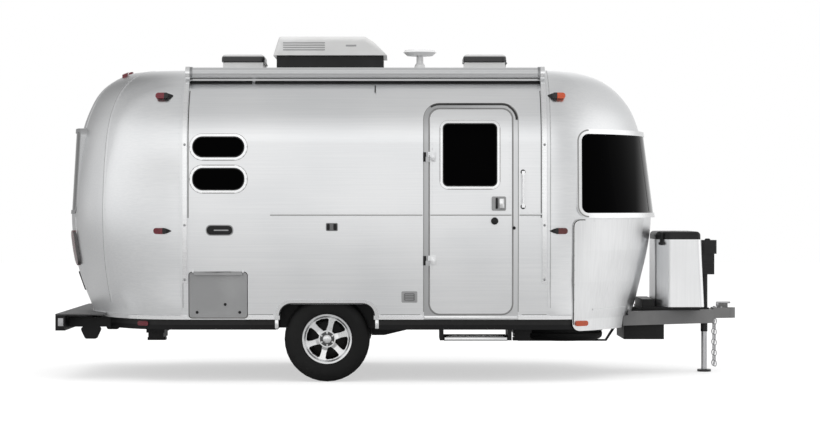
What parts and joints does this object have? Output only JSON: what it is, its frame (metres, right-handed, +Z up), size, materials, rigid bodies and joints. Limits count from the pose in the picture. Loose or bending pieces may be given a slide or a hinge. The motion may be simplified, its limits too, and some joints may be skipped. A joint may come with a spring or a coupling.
{
  "type": "travel caravan",
  "caption": "Rounded riveted aluminium travel caravan on one axle, with a wraparound front window, entry door, side awning and a tongue with jack and coupler.",
  "frame": {"origin": "on the ground under the middle of the overall box", "axes": "+X forward to the coupler, +Y to the street side, +Z up"},
  "size_m": [5.802, 2.5318, 2.909],
  "materials": {
    "skin": "riveted bright sheet",
    "bright_trim": "bright extrusion",
    "dark_glass": "dark tinted",
    "dark_paint": "satin black",
    "deck_wood": "plain board",
    "tyre_rubber": "road tyre",
    "alloy": "satin cast",
    "steel": "zinc plated",
    "stainless": "bright stainless",
    "black_plastic": "fine grain",
    "white_plastic": "smooth",
    "grey_paint": "satin grey",
    "awning_metal": "slatted cover",
    "red_lens": "clear red",
    "amber_lens": "clear amber"
  },
  "bodies": {
    "caravan": {"amber_lamps": "amber_lens", "antenna": "white_plastic", "arch_trims": "bright_trim", "awning_arms": "bright_trim", "awning_roller": "awning_metal", "axle": "dark_paint", "belly_pan": "dark_paint", "bumper": "dark_paint", "bumper_deck": "grey_paint", "cooler_base": "black_plastic", "cooler_shroud": "white_plastic", "coupler": "dark_paint", "curb_wall": "skin", "door_frame": "bright_trim", "floor_deck": "deck_wood", "front_cap": "skin", "front_glass": "dark_glass", "front_guards": "stainless", "front_window_frame": "bright_trim", "gas_cap": "black_plastic", "gas_cover": "stainless", "grab_handle": "bright_trim", "jack_body": "black_plastic", "rear_cap": "skin", "rear_glass": "dark_glass", "rear_window_frame": "bright_trim", "red_lamps": "red_lens", "rim_spare": "steel", "roof_panel": "skin", "rub_rail": "bright_trim", "safety_chains": "steel", "side_glass": "dark_glass", "side_window_frames": "bright_trim", "spare_carrier": "dark_paint", "stabilisers": "dark_paint", "step_frame": "dark_paint", "street_wall": "skin", "tongue_rail_left": "dark_paint", "tongue_rail_right": "dark_paint", "tongue_tray": "dark_paint", "tyre_spare": "tyre_rubber", "vent_bases": "black_plastic", "wall_fittings": "grey_paint", "wheel_wells": "dark_paint"},
    "wheel_left": {"tyre_left": "tyre_rubber", "rim_left": "alloy", "hub_left": "steel"},
    "wheel_right": {"tyre_right": "tyre_rubber", "rim_right": "alloy", "hub_right": "steel"},
    "door": {"door_leaf": "skin", "door_window_frame": "bright_trim", "door_glass": "dark_glass", "door_latch": "grey_paint"},
    "hatch": {"service_hatch": "grey_paint"},
    "rear_vent_lid": {"vent_lid_rear": "white_plastic"},
    "front_vent_lid": {"vent_lid_front": "white_plastic"},
    "step": {"step_tread": "dark_paint"},
    "jack_foot_leg": {"jack_leg": "steel"}
  },
  "joints": [
    {"name": "left_wheel_spin", "type": "hinge", "parent": "caravan", "child": "wheel_left", "pos_m": [-0.635, 1.035, 0.352], "axis": [0, 1, 0], "continuous": true},
    {"name": "right_wheel_spin", "type": "hinge", "parent": "caravan", "child": "wheel_right", "pos_m": [-0.635, -1.035, 0.352], "axis": [0, 1, 0], "continuous": true},
    {"name": "door_swing", "type": "hinge", "parent": "caravan", "child": "door", "pos_m": [0.2025, -1.243, 1.4], "axis": [0, 0, -1], "range_deg": [0, 110]},
    {"name": "hatch_swing", "type": "hinge", "parent": "caravan", "child": "hatch", "pos_m": [-1.5265, -1.222, 0.905], "axis": [-1, 0, 0], "range_deg": [0, 100]},
    {"name": "rear_vent_swing", "type": "hinge", "parent": "caravan", "child": "rear_vent_lid", "pos_m": [-1.211, 0, 2.687], "axis": [0, 1, 0], "range_deg": [0, 70]},
    {"name": "front_vent_swing", "type": "hinge", "parent": "caravan", "child": "front_vent_lid", "pos_m": [0.887, 0, 2.687], "axis": [0, 1, 0], "range_deg": [0, 70]},
    {"name": "step_slide", "type": "slide", "parent": "caravan", "child": "step", "axis": [0, -1, 0], "range_m": [0, 0.25]},
    {"name": "jack_slide", "type": "slide", "parent": "caravan", "child": "jack_foot_leg", "axis": [0, 0, 1], "range_m": [0, 0.25]}
  ]
}
